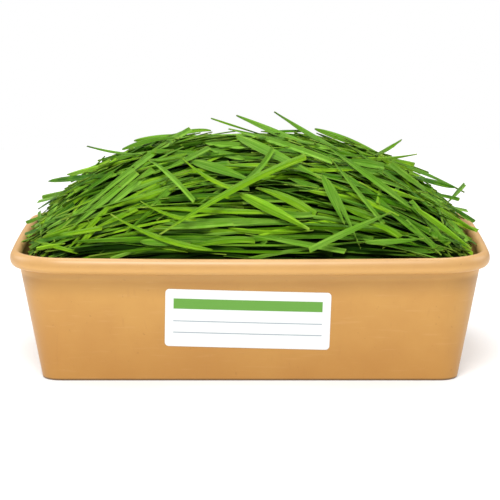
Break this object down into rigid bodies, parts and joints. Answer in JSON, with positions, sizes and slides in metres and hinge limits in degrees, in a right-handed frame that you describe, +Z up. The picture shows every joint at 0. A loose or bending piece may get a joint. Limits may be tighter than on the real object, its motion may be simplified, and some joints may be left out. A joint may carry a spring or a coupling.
{
  "type": "tub of cut wheatgrass",
  "caption": "Rectangular kraft-paper tub with a rolled rim and a plain front label, heaped with loose cut wheatgrass blades.",
  "frame": {"origin": "centre of the footprint, on the surface the tub stands on", "axes": "+X along the tub's long side, -Y towards the labelled front, +Z up"},
  "size_m": [0.173, 0.12, 0.0909],
  "materials": {
    "kraft_board": "matte",
    "label_paper": "satin",
    "wheatgrass": "satin"
  },
  "bodies": {
    "root": {"tub_wall": "kraft_board", "tub_floor": "kraft_board", "label": "label_paper", "blade_pile": "wheatgrass", "blade_01": "wheatgrass", "blade_02": "wheatgrass", "blade_03": "wheatgrass", "blade_04": "wheatgrass", "blade_05": "wheatgrass", "blade_06": "wheatgrass", "blade_07": "wheatgrass", "blade_08": "wheatgrass", "blade_09": "wheatgrass", "blade_10": "wheatgrass", "blade_11": "wheatgrass", "blade_12": "wheatgrass", "blade_13": "wheatgrass", "blade_14": "wheatgrass", "blade_15": "wheatgrass", "blade_16": "wheatgrass", "blade_17": "wheatgrass", "blade_18": "wheatgrass", "blade_19": "wheatgrass", "blade_20": "wheatgrass", "blade_21": "wheatgrass", "blade_22": "wheatgrass", "blade_23": "wheatgrass", "blade_24": "wheatgrass", "blade_25": "wheatgrass", "blade_26": "wheatgrass", "blade_27": "wheatgrass", "blade_28": "wheatgrass", "blade_29": "wheatgrass", "blade_30": "wheatgrass", "blade_31": "wheatgrass", "blade_32": "wheatgrass", "blade_33": "wheatgrass", "blade_34": "wheatgrass", "blade_35": "wheatgrass", "blade_36": "wheatgrass", "blade_37": "wheatgrass", "blade_38": "wheatgrass", "blade_39": "wheatgrass", "blade_40": "wheatgrass", "blade_41": "wheatgrass", "blade_42": "wheatgrass", "blade_43": "wheatgrass", "blade_44": "wheatgrass", "blade_45": "wheatgrass", "blade_46": "wheatgrass", "blade_47": "wheatgrass", "blade_48": "wheatgrass", "blade_49": "wheatgrass", "blade_50": "wheatgrass", "blade_51": "wheatgrass", "blade_52": "wheatgrass", "blade_53": "wheatgrass", "blade_54": "wheatgrass", "blade_55": "wheatgrass", "blade_56": "wheatgrass"}
  },
  "joints": []
}
